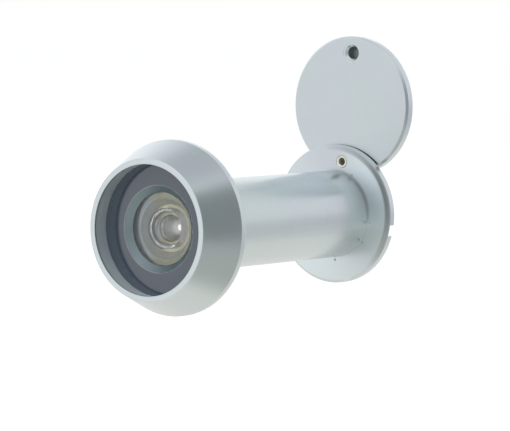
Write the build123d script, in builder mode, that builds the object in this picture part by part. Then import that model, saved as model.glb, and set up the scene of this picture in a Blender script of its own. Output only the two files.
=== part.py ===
from build123d import *
import math
import os

# Door viewer with a swing cover, in millimetres.
# The origin is the centre of the outer seat, where the bezel rests on the door's outside face.
# +Y runs inward along the barrel, through the door, and +Z is up. The outdoor side is at -Y.

# ---- driving dimensions ----

# fits
running_gap = 0.05          # radial and axial play of pieces that turn or slide on each other
fixed_gap = 0.01            # radial play of pieces that are pressed or cemented together

# door and screw
door_gap = 40.9             # between the two seats, screwed fully together
thread_radius = 6.0         # M12 x 1, male thread's crest
thread_pitch = 1.0
thread_relief = 1.0         # plain neck at the stem's root
stem_end_bevel = 0.5
stem_wall = 0.64            # under the thread's root
sleeve_wall = 0.95
recess_depth = 0.5          # the sleeve's end enters the bezel's rear this far
recess_play = 0.3
stop_gap = 0.1              # left between the sleeve's end and the bezel

# bezel
opening_radius = 10.0
lip_overhang = 0.25         # the opening's lip stands in over the lens retainer
lip_thickness = 0.4
rim_width = 0.87
cone_flare = 2.63
land_length = 1.3
land_round = 0.45
rim_round = 0.15
pocket_wall = 0.6           # between the front lens's seat and the sleeve's recess

# front lens and its retainer
retainer_depth = 3.0        # from the rim to the black ring's face
retainer_thickness = 0.7
hub_length = 0.3
hub_wall = 0.15
dish_throat_radius = 5.5
dish_flare = 1.2
dish_round = 0.15
front_lens_ledge = 0.85     # the front lens runs under the retainer's throat
front_lens_edge = 1.3
front_lens_crown = 0.6
front_lens_hollow = 1.6
front_lens_margin = 1.45    # from the hollow's edge to the seat's mouth
seat_flange = 1.1
seat_nose = 0.7
seat_mouth_wall = 0.24
seat_taper = 1.1            # the funnel narrows by this to its step
seat_ledge = 0.5            # the step narrows it again, to the aperture
seat_step = 0.5

# lenses and spacers down the stem
second_lens_edge = 1.8
second_lens_crown = 0.1
second_lens_hollow = 1.2
lens_spacer_length = 2.5
ring_wall = 0.7             # spacer rings and tube
third_lens_edge = 1.5
third_lens_crown = 0.5
third_lens_hollow = 0.4
rear_lens_edge = 1.8
rear_lens_crown = 0.6
objective_ring_length = 1.4
objective_ring_inset = 0.6
spanner_slot_width = 1.0
spanner_slot_depth = 0.6
lock_ring_wall = 1.2

# inner flange
flange_thickness = 1.5
flange_bevel = 0.4          # axial length of the front bevel
flange_bevel_width = 0.55
coin_slot_width = 1.8
coin_slot_depth = 1.1
stake_size = 0.22           # radius and depth of the staking marks
stake_ring_gap = 0.42       # from the barrel to the marks' centres
stake_angles = (59, -9, -36, -85, -131, 172, 118)

# eyepiece
eyepiece_wall = 1.75
eyepiece_lip = 0.6          # length and width of the shoulder that stops the field lens
stem_end_gap = 1.4
field_lens_edge = 1.5
field_lens_crown = 0.4
eyepiece_spacer_length = 3.1
eyepiece_lens_edge = 1.7
eyepiece_lens_crown = 0.7
eyepiece_ring_length = 1.0
eyepiece_ring_inset = 0.3

# cover and its pivot
pivot_turn = 11.9           # degrees from straight up towards +X, as the sleeve stands
cover_turn = 1.7            # the same for the open cover's centre, seen from the pivot
pivot_offset = 1.7          # from the barrel's surface to the pivot
pivot_edge = 2.5            # from the pivot to the flange's edge
rivet_radius = 0.9
rivet_bore_radius = 0.6
rivet_flare = 0.15
rivet_head_width = 1.0
rivet_head_thickness = 0.6
washer_width = 1.1
washer_thickness = 0.3
cover_drop = 0.3            # the closed cover hangs this far off centre
cover_pivot_edge = 2.2
cover_thickness = 1.75
cover_bevel = 0.35
cover_round = 0.3
knob_edge = 2.65            # from the knob's centre to the cover's edge
knob_shank_radius = 1.25
knob_bore_radius = 0.95
knob_flare = 0.4
knob_neck_radius = 1.4
knob_neck_length = 0.8
knob_radius = 1.75
knob_length = 2.4
knob_round = 0.5

# ---- radii that follow ----

thread_depth = 0.6134 * thread_pitch
thread_root_radius = thread_radius - thread_depth
sleeve_bore_radius = thread_radius + running_gap
sleeve_radius = sleeve_bore_radius + sleeve_wall
recess_radius = sleeve_radius + recess_play
stem_bore_radius = thread_root_radius - stem_wall
stack_radius = stem_bore_radius - fixed_gap

cavity_radius = opening_radius + lip_overhang
rim_radius = opening_radius + rim_width
bezel_radius = rim_radius + cone_flare
dish_mouth_radius = dish_throat_radius + dish_flare
hub_radius = dish_mouth_radius + hub_wall
front_lens_radius = dish_throat_radius + front_lens_ledge
seat_mouth_radius = stack_radius - seat_mouth_wall
seat_step_radius = seat_mouth_radius - seat_taper
seat_aperture_radius = seat_step_radius - seat_ledge
front_lens_hollow_radius = seat_mouth_radius - front_lens_margin
ring_bore_radius = stack_radius - ring_wall

eyepiece_bore_radius = sleeve_radius - eyepiece_wall
eyepiece_radius = eyepiece_bore_radius - running_gap
eyepiece_lip_radius = eyepiece_bore_radius - eyepiece_lip

pivot_radius = sleeve_radius + pivot_offset
flange_radius = pivot_radius + pivot_edge
cover_reach = pivot_radius + cover_drop
cover_radius = cover_reach + cover_pivot_edge
rivet_head_radius = rivet_radius + rivet_head_width

# ---- places along the axis that follow, from the outdoor side to the room ----

seat_rear = -(recess_depth + pocket_wall)
front_lens_rear = seat_rear - seat_flange
front_lens_front = front_lens_rear - front_lens_edge
cavity_floor = front_lens_front - hub_length
retainer_face = cavity_floor - retainer_thickness
rim_face = retainer_face - retainer_depth
sleeve_end = stop_gap - recess_depth

flange_front = door_gap
flange_rear = flange_front + flange_thickness
coin_slot_floor = flange_rear - coin_slot_depth
eyepiece_ring_rear = flange_rear - eyepiece_ring_inset
eyepiece_ring_front = eyepiece_ring_rear - eyepiece_ring_length
eyepiece_lens_rear = eyepiece_ring_front - running_gap
eyepiece_lens_front = eyepiece_lens_rear - eyepiece_lens_edge
eyepiece_spacer_front = eyepiece_lens_front - eyepiece_spacer_length
field_lens_front = eyepiece_spacer_front - field_lens_edge
lip_rear = field_lens_front - running_gap
lip_front = lip_rear - eyepiece_lip
stem_end = lip_front - stem_end_gap

second_lens_front = seat_rear + seat_nose
second_lens_rear = second_lens_front + second_lens_edge
third_lens_front = second_lens_rear + lens_spacer_length
third_lens_rear = third_lens_front + third_lens_edge
objective_ring_rear = stem_end - objective_ring_inset
objective_ring_front = objective_ring_rear - objective_ring_length
rear_lens_front = objective_ring_front - rear_lens_edge

washer_rear = flange_rear + washer_thickness
cover_front = washer_rear + running_gap
cover_rear = cover_front + cover_thickness
rivet_head_front = cover_rear + running_gap

# ---- pivot, cover and knob centres ----

pivot_x = pivot_radius * math.sin(math.radians(pivot_turn))
pivot_z = pivot_radius * math.cos(math.radians(pivot_turn))
cover_x = pivot_x + cover_reach * math.sin(math.radians(cover_turn))
cover_z = pivot_z + cover_reach * math.cos(math.radians(cover_turn))
knob_reach = cover_radius - knob_edge
knob_x = cover_x + knob_reach * math.sin(math.radians(cover_turn))
knob_z = cover_z + knob_reach * math.cos(math.radians(cover_turn))


def across(y):
    """The plane across the barrel at one place on its axis, with X right and Z up."""
    return Plane.XZ.offset(-y)


def beside(x, z):
    """The profile plane of a piece that is turned about its own axis along Y."""
    return Plane(origin=(x, 0, z))


def own_axis(x, z):
    """The axis along Y of a piece that stands beside the barrel's axis."""
    return Axis((x, 0, z), (0, 1, 0))


def corner(outline, radius, y):
    """The corner of a profile that lies nearest to one radius and one place on the axis."""
    return outline.vertices().sort_by_distance((radius, y, 0))[0]


def thread_outline(start, end):
    """The crests and roots of the male thread between two places, as points of a profile."""
    turns = int((end - start) / thread_pitch)
    root_flat = thread_pitch / 4
    crest_flat = thread_pitch / 8
    flank = (thread_pitch - root_flat - crest_flat) / 2
    points = []
    for turn in range(turns):
        foot = start + turn * thread_pitch
        points += [
            (thread_root_radius, foot),
            (thread_radius, foot + flank),
            (thread_radius, foot + flank + crest_flat),
            (thread_root_radius, foot + 2 * flank + crest_flat),
        ]
    return points


def turned_lens(label, radius, front, rear, front_radius, crown, rear_radius, bulge):
    """A lens with a flat ground edge: crown swells its outdoor face, and bulge its room face."""
    with BuildPart() as lens:
        with BuildSketch():
            with BuildLine():
                Line((0, front - crown), (0, rear + bulge))
                TangentArc((0, rear + bulge), (rear_radius, rear), tangent=(1, 0))
                Polyline((rear_radius, rear), (radius, rear), (radius, front), (front_radius, front))
                TangentArc((0, front - crown), (front_radius, front), tangent=(1, 0))
            make_face()
        revolve(axis=Axis.Y)
    lens.part.label = label
    return lens.part


def turned_ring(label, inner_radius, outer_radius, front, rear):
    """A plain ring or tube about the barrel's axis."""
    with BuildPart() as ring:
        with BuildSketch(across(front)):
            Circle(outer_radius)
            Circle(inner_radius, mode=Mode.SUBTRACT)
        extrude(amount=front - rear)
    ring.part.label = label
    return ring.part


def lock_ring(label, outer_radius, front, rear):
    """A ring with two spanner slots in its room face, in line with the coin slot."""
    with BuildPart() as ring:
        add(turned_ring(label, outer_radius - lock_ring_wall, outer_radius, front, rear))
        with BuildSketch(across(rear - spanner_slot_depth)):
            Rectangle(2 * outer_radius, spanner_slot_width, rotation=-pivot_turn)
        extrude(amount=-spanner_slot_depth, mode=Mode.SUBTRACT)
    ring.part.label = label
    return ring.part


# ---- body held in the door ----

# bezel and threaded stem, turned in one piece
with BuildPart() as outer_housing:
    with BuildSketch() as housing_profile:
        with BuildLine():
            Polyline(
                (opening_radius, rim_face),
                (rim_radius, rim_face),
                (bezel_radius, -land_length),
                (bezel_radius, 0),
                (recess_radius, 0),
                (recess_radius, -recess_depth),
                (thread_root_radius, -recess_depth),
                *thread_outline(thread_relief, stem_end - stem_end_bevel),
                (thread_root_radius, stem_end - stem_end_bevel),
                (thread_root_radius - stem_wall / 2, stem_end),
                (stem_bore_radius, stem_end),
                (stem_bore_radius, seat_rear),
                (front_lens_radius + running_gap, seat_rear),
                (front_lens_radius + running_gap, front_lens_front),
                (hub_radius + fixed_gap, front_lens_front),
                (hub_radius + fixed_gap, cavity_floor),
                (cavity_radius, cavity_floor),
                (cavity_radius, rim_face + lip_thickness),
                (opening_radius, rim_face + lip_thickness),
                close=True,
            )
        make_face()
        fillet(corner(housing_profile, rim_radius, rim_face), rim_round)
        fillet(corner(housing_profile, bezel_radius, -land_length), land_round)
        fillet(corner(housing_profile, bezel_radius, 0), land_round)
    revolve(axis=Axis.Y)
outer_housing.part.label = "outer_housing"

# glossy black ring: a flat face, then a dish down to the front lens
with BuildPart() as lens_retainer:
    with BuildSketch() as retainer_profile:
        with BuildLine():
            Polyline(
                (dish_mouth_radius, retainer_face),
                (cavity_radius - fixed_gap, retainer_face),
                (cavity_radius - fixed_gap, cavity_floor),
                (hub_radius, cavity_floor),
                (hub_radius, front_lens_front),
                (dish_throat_radius, front_lens_front),
                close=True,
            )
        make_face()
        fillet(corner(retainer_profile, dish_mouth_radius, retainer_face), dish_round)
    revolve(axis=Axis.Y)
lens_retainer.part.label = "lens_retainer"

front_lens = turned_lens(
    "front_lens", front_lens_radius, front_lens_front, front_lens_rear,
    dish_throat_radius, front_lens_crown, front_lens_hollow_radius, -front_lens_hollow,
)

# brass ring: a flange under the front lens, then a stepped funnel down to the second lens
with BuildPart() as front_lens_seat:
    with BuildSketch():
        with BuildLine():
            Polyline(
                (seat_mouth_radius, front_lens_rear),
                (front_lens_radius, front_lens_rear),
                (front_lens_radius, seat_rear),
                (stack_radius, seat_rear),
                (stack_radius, second_lens_front),
                (seat_aperture_radius, second_lens_front),
                (seat_aperture_radius, second_lens_front - seat_step),
                (seat_step_radius, second_lens_front - seat_step),
                close=True,
            )
        make_face()
    revolve(axis=Axis.Y)
front_lens_seat.part.label = "front_lens_seat"

second_lens = turned_lens(
    "second_lens", stack_radius, second_lens_front, second_lens_rear,
    seat_aperture_radius, second_lens_crown, ring_bore_radius, -second_lens_hollow,
)
lens_spacer = turned_ring(
    "lens_spacer", ring_bore_radius, stack_radius, second_lens_rear, third_lens_front
)
third_lens = turned_lens(
    "third_lens", stack_radius, third_lens_front, third_lens_rear,
    ring_bore_radius, third_lens_crown, ring_bore_radius, -third_lens_hollow,
)
relay_tube = turned_ring(
    "relay_tube", ring_bore_radius, stack_radius, third_lens_rear, rear_lens_front
)
rear_lens = turned_lens(
    "rear_lens", stack_radius, rear_lens_front, objective_ring_front,
    ring_bore_radius, rear_lens_crown, stack_radius - lock_ring_wall, rear_lens_crown,
)
objective_lock_ring = lock_ring(
    "objective_lock_ring", stack_radius, objective_ring_front, objective_ring_rear
)

# ---- eyepiece glass, which travels with the sleeve ----

eyepiece_ring_bore = eyepiece_bore_radius - fixed_gap - lock_ring_wall
spacer_bore_radius = eyepiece_radius - ring_wall
field_lens = turned_lens(
    "field_lens", eyepiece_radius, field_lens_front, eyepiece_spacer_front,
    eyepiece_lip_radius, field_lens_crown, spacer_bore_radius, field_lens_crown,
)
eyepiece_spacer = turned_ring(
    "eyepiece_spacer", spacer_bore_radius, eyepiece_radius, eyepiece_spacer_front, eyepiece_lens_front
)
eyepiece_lens = turned_lens(
    "eyepiece_lens", eyepiece_radius, eyepiece_lens_front, eyepiece_lens_rear,
    spacer_bore_radius, eyepiece_lens_crown, eyepiece_ring_bore, eyepiece_lens_crown,
)

# ---- sleeve that screws on from the room ----

# smooth barrel; its female thread is left as a plain bore that clears the male crests
with BuildPart() as sleeve_tube:
    with BuildSketch():
        with BuildLine():
            Polyline(
                (sleeve_bore_radius, sleeve_end),
                (sleeve_radius, sleeve_end),
                (sleeve_radius, flange_rear),
                (eyepiece_bore_radius, flange_rear),
                (eyepiece_bore_radius, lip_rear),
                (eyepiece_lip_radius, lip_rear),
                (eyepiece_lip_radius, lip_front),
                (sleeve_bore_radius, lip_front),
                close=True,
            )
        make_face()
    revolve(axis=Axis.Y)
    with BuildSketch(across(coin_slot_floor)):
        Rectangle(2 * flange_radius, coin_slot_width, rotation=-pivot_turn)
    extrude(amount=-coin_slot_depth, mode=Mode.SUBTRACT)
sleeve_tube.part.label = "sleeve_tube"

# round flange: front bevel, coin slot across its rear, countersunk rivet hole, staking marks
with BuildPart() as inner_flange:
    with BuildSketch():
        with BuildLine():
            Polyline(
                (sleeve_radius + fixed_gap, flange_front),
                (flange_radius - flange_bevel_width, flange_front),
                (flange_radius, flange_front + flange_bevel),
                (flange_radius, flange_rear),
                (sleeve_radius + fixed_gap, flange_rear),
                close=True,
            )
        make_face()
    revolve(axis=Axis.Y)
    with BuildSketch(across(coin_slot_floor)):
        Rectangle(2 * flange_radius + coin_slot_width, coin_slot_width, rotation=-pivot_turn)
    extrude(amount=-coin_slot_depth, mode=Mode.SUBTRACT)
    with BuildSketch(beside(pivot_x, pivot_z)):
        with BuildLine():
            Polyline(
                (0, flange_front),
                (rivet_radius + rivet_flare + fixed_gap, flange_front),
                (rivet_radius + fixed_gap, flange_front + rivet_flare),
                (rivet_radius + fixed_gap, flange_rear),
                (0, flange_rear),
                close=True,
            )
        make_face()
    revolve(axis=own_axis(pivot_x, pivot_z), mode=Mode.SUBTRACT)
    with Locations(across(flange_front + stake_size / 2)):
        for angle in stake_angles:
            with PolarLocations(sleeve_radius + stake_ring_gap, 1, start_angle=angle):
                Cone(stake_size / 3, stake_size, stake_size, mode=Mode.SUBTRACT)
inner_flange.part.label = "inner_flange"

# hollow brass rivet: flared flush in the flange, with a closed round head behind the cover
with BuildPart() as cover_pivot_rivet:
    with BuildSketch(beside(pivot_x, pivot_z)):
        with BuildLine():
            Polyline(
                (rivet_bore_radius + rivet_flare / 2, flange_front),
                (rivet_radius + rivet_flare, flange_front),
                (rivet_radius, flange_front + rivet_flare),
                (rivet_radius, rivet_head_front),
                (rivet_head_radius, rivet_head_front),
                (rivet_head_radius, rivet_head_front + rivet_head_thickness / 2),
            )
            TangentArc(
                (0, rivet_head_front + rivet_head_thickness),
                (rivet_head_radius, rivet_head_front + rivet_head_thickness / 2),
                tangent=(1, 0),
            )
            Polyline(
                (0, rivet_head_front + rivet_head_thickness),
                (0, cover_rear),
                (rivet_bore_radius, cover_rear),
                (rivet_bore_radius, flange_front + rivet_flare / 2),
                (rivet_bore_radius + rivet_flare / 2, flange_front),
            )
        make_face()
    revolve(axis=own_axis(pivot_x, pivot_z))
cover_pivot_rivet.part.label = "cover_pivot_rivet"

# washer that keeps the cover clear of the flange
with BuildPart() as friction_washer:
    with BuildSketch(across(flange_rear)):
        with Locations((pivot_x, pivot_z)):
            Circle(rivet_radius + washer_width)
            Circle(rivet_radius + fixed_gap, mode=Mode.SUBTRACT)
    extrude(amount=-washer_thickness)
friction_washer.part.label = "friction_washer"

eyepiece_lock_ring = lock_ring(
    "eyepiece_lock_ring", eyepiece_bore_radius - fixed_gap, eyepiece_ring_front, eyepiece_ring_rear
)

# ---- swing cover ----

# round plate: bevelled front edge, rounded rear edge, pivot hole and countersunk knob hole
with BuildPart() as swing_cover:
    with BuildSketch(beside(cover_x, cover_z)) as cover_profile:
        with BuildLine():
            Polyline(
                (0, cover_front),
                (cover_radius - cover_bevel, cover_front),
                (cover_radius, cover_front + cover_bevel),
                (cover_radius, cover_rear),
                (0, cover_rear),
                close=True,
            )
        make_face()
    revolve(axis=own_axis(cover_x, cover_z))
    fillet(swing_cover.edges().group_by(Axis.Y)[-1], cover_round)
    with BuildSketch(across(cover_front)):
        with Locations((pivot_x, pivot_z)):
            Circle(rivet_radius + running_gap)
    extrude(amount=-cover_thickness, mode=Mode.SUBTRACT)
    with BuildSketch(beside(knob_x, knob_z)):
        with BuildLine():
            Polyline(
                (0, cover_front),
                (knob_shank_radius + knob_flare + fixed_gap, cover_front),
                (knob_shank_radius + fixed_gap, cover_front + knob_flare),
                (knob_shank_radius + fixed_gap, cover_rear),
                (0, cover_rear),
                close=True,
            )
        make_face()
    revolve(axis=own_axis(knob_x, knob_z), mode=Mode.SUBTRACT)
swing_cover.part.label = "swing_cover"

# finger knob: its hollow shank goes through the cover and is flared into the countersink
with BuildPart() as cover_knob:
    with BuildSketch(beside(knob_x, knob_z)) as knob_profile:
        with BuildLine():
            Polyline(
                (knob_bore_radius + knob_flare, cover_front),
                (knob_shank_radius + knob_flare, cover_front),
                (knob_shank_radius, cover_front + knob_flare),
                (knob_shank_radius, cover_rear),
                (knob_neck_radius, cover_rear),
                (knob_neck_radius, cover_rear + knob_neck_length),
                (knob_radius, cover_rear + knob_neck_length + knob_round),
                (knob_radius, cover_rear + knob_length),
                (0, cover_rear + knob_length),
                (0, cover_rear),
                (knob_bore_radius, cover_rear),
                (knob_bore_radius, cover_front + knob_flare),
                close=True,
            )
        make_face()
        fillet(corner(knob_profile, knob_radius, cover_rear + knob_length), knob_round)
    revolve(axis=own_axis(knob_x, knob_z))
cover_knob.part.label = "cover_knob"

# ---- one file per piece ----

pieces = [
    outer_housing.part,
    lens_retainer.part,
    front_lens,
    front_lens_seat.part,
    second_lens,
    lens_spacer,
    third_lens,
    relay_tube,
    rear_lens,
    objective_lock_ring,
    field_lens,
    eyepiece_spacer,
    eyepiece_lens,
    sleeve_tube.part,
    inner_flange.part,
    cover_pivot_rivet.part,
    friction_washer.part,
    eyepiece_lock_ring,
    swing_cover.part,
    cover_knob.part,
]
os.makedirs("parts", exist_ok=True)
for piece in pieces:
    export_step(piece, f"parts/{piece.label}.step")
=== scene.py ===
import math

import bmesh
import bpy
from mathutils import Matrix, Vector


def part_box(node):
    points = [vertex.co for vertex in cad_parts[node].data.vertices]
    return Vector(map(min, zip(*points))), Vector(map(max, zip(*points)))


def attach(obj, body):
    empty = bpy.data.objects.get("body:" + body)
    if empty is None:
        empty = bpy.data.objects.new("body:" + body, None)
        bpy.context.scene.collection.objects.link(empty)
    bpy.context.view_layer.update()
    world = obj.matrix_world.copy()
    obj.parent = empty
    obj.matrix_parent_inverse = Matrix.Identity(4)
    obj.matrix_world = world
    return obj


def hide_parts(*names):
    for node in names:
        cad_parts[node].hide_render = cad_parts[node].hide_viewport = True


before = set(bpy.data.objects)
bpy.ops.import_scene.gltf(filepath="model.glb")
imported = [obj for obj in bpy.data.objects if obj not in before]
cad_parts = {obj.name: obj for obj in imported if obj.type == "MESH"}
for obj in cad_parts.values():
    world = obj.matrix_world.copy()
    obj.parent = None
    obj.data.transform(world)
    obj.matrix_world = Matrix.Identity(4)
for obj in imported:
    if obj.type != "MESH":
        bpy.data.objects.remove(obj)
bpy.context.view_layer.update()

# A door viewer: +Y runs inward along its barrel from the outer seat, and +Z is up.
# Lengths are in metres. Sizes that the CAD nodes' boxes give are read from them.

MM = 0.001

# ---- sizes read from the frame ----

housing_low, housing_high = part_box("outer_housing")
RIM_FACE = housing_low.y
BEZEL_RADIUS = housing_high.x
STEM_END = housing_high.y

retainer_low, retainer_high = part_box("lens_retainer")
CAVITY_RADIUS = retainer_high.x
DISH_FACE = retainer_low.y
THROAT = retainer_high.y
CAVITY_FLOOR = THROAT - 0.3 * MM

lens_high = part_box("front_lens")[1]
FRONT_LENS_RADIUS = lens_high.x
FRONT_LENS_REAR = lens_high.y
SECOND_LENS_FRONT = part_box("front_lens_seat")[1].y

sleeve_low, sleeve_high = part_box("sleeve_tube")
SLEEVE_RADIUS = sleeve_high.x
SLEEVE_END = sleeve_low.y
FLANGE_REAR = sleeve_high.y

flange_low, flange_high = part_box("inner_flange")
FLANGE_RADIUS = flange_high.x
FLANGE_FRONT = flange_low.y

# ---- sizes that the boxes don't give, as in the part's source ----

RUNNING_GAP = 0.05 * MM     # between pieces that move on each other
FIT_GAP = 0.01 * MM         # between pieces that are fixed to each other
OPENING_RADIUS = 10.0 * MM
LIP_THICKNESS = 0.4 * MM
LIP_REAR_FACE = RIM_FACE + LIP_THICKNESS
RIM_RADIUS = 10.87 * MM
RIM_ROUND = 0.15 * MM
LAND_LENGTH = 1.3 * MM
LAND_ROUND = 0.45 * MM
HUB_RADIUS = 6.85 * MM
DISH_MOUTH_RADIUS = 6.7 * MM
DISH_THROAT_RADIUS = 5.5 * MM
DISH_ROUND = 0.15 * MM
SEAT_REAR = -1.1 * MM
RECESS_RADIUS = 7.3 * MM
RECESS_DEPTH = 0.5 * MM

THREAD_RADIUS = 6.0 * MM
THREAD_PITCH = 1.0 * MM
THREAD_ROOT_RADIUS = THREAD_RADIUS - 0.6134 * THREAD_PITCH
THREAD_START = 1.0 * MM
STEM_BEVEL = 0.5 * MM
STEM_BEVEL_WIDTH = 0.32 * MM
STEM_BORE_RADIUS = THREAD_ROOT_RADIUS - 0.64 * MM
STACK_RADIUS = STEM_BORE_RADIUS - FIT_GAP
RING_WALL = 0.7 * MM
RING_BORE_RADIUS = STACK_RADIUS - RING_WALL
LOCK_RING_WALL = 1.2 * MM
LOCK_RING_MOUTH_WIDTH = 0.3 * MM
LOCK_RING_MOUTH_DEPTH = 0.4 * MM
SPANNER_SLOT_WIDTH = 1.0 * MM
SPANNER_SLOT_DEPTH = 0.6 * MM

SEAT_MOUTH_RADIUS = STACK_RADIUS - 0.24 * MM
SEAT_STEP_RADIUS = SEAT_MOUTH_RADIUS - 1.1 * MM
SEAT_APERTURE_RADIUS = SEAT_STEP_RADIUS - 0.5 * MM
SEAT_STEP = 0.5 * MM
FRONT_HOLLOW_RADIUS = SEAT_MOUTH_RADIUS - 1.45 * MM

# how far a lens's face swells or is hollowed on its axis
FRONT_LENS_CROWN = 0.6 * MM
FRONT_LENS_HOLLOW = 1.6 * MM
SECOND_LENS_CROWN = 0.1 * MM
SECOND_LENS_HOLLOW = 1.2 * MM
THIRD_LENS_CROWN = 0.5 * MM
THIRD_LENS_HOLLOW = 0.4 * MM
REAR_LENS_CROWN = 0.6 * MM
FIELD_LENS_CROWN = 0.4 * MM
EYEPIECE_LENS_CROWN = 0.7 * MM

SLEEVE_BORE_RADIUS = THREAD_RADIUS + RUNNING_GAP
EYEPIECE_BORE_RADIUS = SLEEVE_RADIUS - 1.75 * MM
EYEPIECE_LIP_RADIUS = EYEPIECE_BORE_RADIUS - 0.6 * MM
LIP_FRONT = STEM_END + 1.4 * MM
LIP_REAR = LIP_FRONT + 0.6 * MM

FLANGE_BEVEL = 0.4 * MM
FLANGE_BEVEL_WIDTH = 0.55 * MM
SLOT_WIDTH = 1.8 * MM
SLOT_DEPTH = 1.1 * MM
STAKE_SIZE = 0.22 * MM
STAKE_RING_RADIUS = SLEEVE_RADIUS + 0.42 * MM
STAKE_ANGLES = (59, -9, -36, -85, -131, 172, 118)

RIVET_RADIUS = 0.9 * MM
RIVET_BORE_RADIUS = 0.6 * MM
RIVET_FLARE = 0.15 * MM
RIVET_MOUTH_ROUND = 0.12 * MM
RIVET_HEAD_RADIUS = 1.9 * MM
RIVET_HEAD_THICKNESS = 0.6 * MM
RIVET_HEAD_SIDE = RIVET_HEAD_THICKNESS * 0.55
RIVET_HEAD_SIDE_ROUND = 0.25 * MM
RIVET_CROWN_RADIUS = RIVET_HEAD_RADIUS * 0.6
RIVET_CROWN = RIVET_HEAD_THICKNESS * 0.92
RIVET_CROWN_ROUND = 0.5 * MM

COVER_BEVEL = 0.35 * MM
COVER_ROUND = 0.3 * MM
KNOB_SHANK_RADIUS = 1.25 * MM
KNOB_BORE_RADIUS = 0.95 * MM
KNOB_BORE_ROUND = 0.1 * MM
KNOB_FLARE = 0.4 * MM
KNOB_FLARE_ROUND = 0.08 * MM
KNOB_FLARE_SINK = 0.03 * MM
KNOB_NECK_RADIUS = 1.4 * MM
KNOB_NECK_LENGTH = 0.8 * MM
KNOB_NECK_ROUND = 0.2 * MM
KNOB_RADIUS = 1.75 * MM
KNOB_LENGTH = 2.4 * MM
KNOB_ROUND = 0.5 * MM

GLASS_PLAY = 0.02 * MM      # a lens stands this far off what it touches, so that the surfaces don't meet
EDGE_ROUND = 0.06 * MM      # broken edge of a turned piece
TURNS = 192                 # steps round a turned piece
SMALL_TURNS = 64            # the same for a small piece or hole
FLAT_AREA = 0.02 * MM * MM  # a face across the barrel that is larger than this is shaded flat
FLAT_NORMAL = 0.9999        # a face lies across the barrel if its normal's Y is larger than this
MERGE = 1e-8                # points closer than this become one
ON_AXIS = 1e-9              # a radius under this lies on the axis
LEVEL = 1e-7                # a profile's line runs across the barrel if its ends differ by less


def middle(node):
    """The centre of a CAD node's box."""
    low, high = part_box(node)
    return (low + high) / 2


def tilt_of(centre_a, centre_b):
    """The angle from straight up towards +X of the line from one centre to another."""
    return math.atan2(centre_b.x - centre_a.x, centre_b.z - centre_a.z)


PIVOT = middle("cover_pivot_rivet")
COVER = middle("swing_cover")
KNOB = middle("cover_knob")
cover_low, cover_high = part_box("swing_cover")
COVER_RADIUS = (cover_high.x - cover_low.x) / 2
COVER_FRONT = cover_low.y
COVER_REAR = cover_high.y
SLOT_TILT = tilt_of(Vector((0, 0, 0)), PIVOT)


# ---- mesh helpers ----

def rounded(corners, closed=True, steps=5):
    """A profile line of (radius, place) points from (radius, place, rounding) corners."""
    support = 0.02 * MM     # a point this far beyond each rounding keeps the shading of the flats even
    count = len(corners)
    line = []
    for i, (r, y, rounding) in enumerate(corners):
        here = Vector((r, y))
        at_end = not closed and i in (0, count - 1)
        if rounding == 0 or at_end:
            line.append(here)
            continue
        before = Vector(corners[i - 1][:2]) - here
        after = Vector(corners[(i + 1) % count][:2]) - here
        turn = before.angle(after)
        reach = rounding / math.tan(turn / 2)
        start = here + before.normalized() * reach
        end = here + after.normalized() * reach
        bisector = (before.normalized() + after.normalized()).normalized()
        centre = here + bisector * (rounding / math.sin(turn / 2))
        line.append(start + before.normalized() * support)
        first = start - centre
        swing = first.angle_signed(end - centre)
        for step in range(steps + 1):
            line.append(centre + Matrix.Rotation(-swing * step / steps, 2) @ first)
        line.append(end + after.normalized() * support)
    return [(max(0.0, p.x), p.y) for p in line]


def divided(line, closed, longest=0.7 * MM):
    """Adds points along a profile's flats across the barrel, so that no long thin faces lie on them."""
    whole = []
    for (r, y), (next_r, next_y) in zip(line, line[1:] + line[:1] if closed else line[1:]):
        parts = math.ceil(abs(next_r - r) / longest) if abs(next_y - y) < LEVEL else 1
        whole += [(r + (next_r - r) * k / parts, y) for k in range(max(1, parts))]
    return whole if closed else whole + [line[-1]]


def smooth(mesh, sharp):
    """Smooth shading, except at sharp edges and on the flats across the barrel, whose normals stay true."""
    mesh.shade_smooth()
    mesh.set_sharp_from_angle(angle=math.radians(sharp))
    for face in mesh.polygons:
        if abs(face.normal.y) > FLAT_NORMAL and face.area > FLAT_AREA:
            face.use_smooth = False


def mesh_object(name, bm, centre=(0, 0), sharp=32):
    """An object from a bmesh, at a centre across the barrel."""
    bmesh.ops.remove_doubles(bm, verts=bm.verts, dist=MERGE)
    bmesh.ops.recalc_face_normals(bm, faces=bm.faces)
    mesh = bpy.data.meshes.new(name)
    bm.to_mesh(mesh)
    bm.free()
    smooth(mesh, sharp)
    piece = bpy.data.objects.new(name, mesh)
    piece.location = (centre[0], 0, centre[1])
    bpy.context.scene.collection.objects.link(piece)
    return piece


def spin(bm, line, closed=True, turns=TURNS):
    """Adds the surface of a profile line turned about the Y axis."""
    rings = []
    for r, y in line:
        if r < ON_AXIS:
            rings.append([bm.verts.new((0, y, 0))] * turns)
            continue
        angles = (2 * math.pi * k / turns for k in range(turns))
        rings.append([bm.verts.new((r * math.sin(a), y, r * math.cos(a))) for a in angles])
    pairs = list(zip(rings, rings[1:]))
    if closed:
        pairs.append((rings[-1], rings[0]))
    for low, high in pairs:
        for k in range(turns):
            after = (k + 1) % turns
            corners = []
            for vert in (low[k], low[after], high[after], high[k]):
                if vert not in corners:
                    corners.append(vert)
            if len(corners) > 2:
                bm.faces.new(corners)


def turned(name, corners, centre=(0, 0), closed=True, turns=TURNS):
    """A turned piece from the corners of its profile."""
    bm = bmesh.new()
    spin(bm, divided(rounded(corners, closed), closed), closed, turns)
    return mesh_object(name, bm, centre)


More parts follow.
